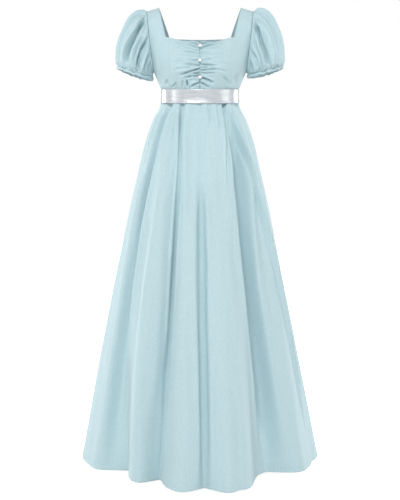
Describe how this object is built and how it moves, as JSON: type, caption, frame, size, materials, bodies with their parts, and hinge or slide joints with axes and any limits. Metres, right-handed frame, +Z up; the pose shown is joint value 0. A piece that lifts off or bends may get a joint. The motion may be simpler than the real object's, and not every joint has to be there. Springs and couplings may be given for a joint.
{
  "type": "ball gown",
  "caption": "Empire-line ball gown, worn with no wearer: square neck, ruched front, puffed sleeves, ribbon belt and long gathered skirt.",
  "frame": {"origin": "midway between the tops of the two shoulder straps, where the wearer's shoulders carry the gown", "axes": "+Z up, the front faces -Y, +X towards the wearer's left sleeve"},
  "size_m": [0.7485, 0.7492, 1.4044],
  "materials": {
    "gown_cloth": "matt crinkled crepe, pale blue",
    "satin_ribbon": "satin, silvery white",
    "pearl": "pearly gloss, white"
  },
  "bodies": {
    "root": {"bodice_front_left": "gown_cloth", "bodice_front_right": "gown_cloth", "bodice_back_left": "gown_cloth", "bodice_back_right": "gown_cloth", "sleeve_left": "gown_cloth", "sleeve_right": "gown_cloth", "cuff_left": "gown_cloth", "cuff_right": "gown_cloth", "skirt_front": "gown_cloth", "skirt_back_left": "gown_cloth", "skirt_back_right": "gown_cloth", "belt": "satin_ribbon", "button_top": "pearl", "button_middle": "pearl", "button_bottom": "pearl"}
  },
  "joints": []
}
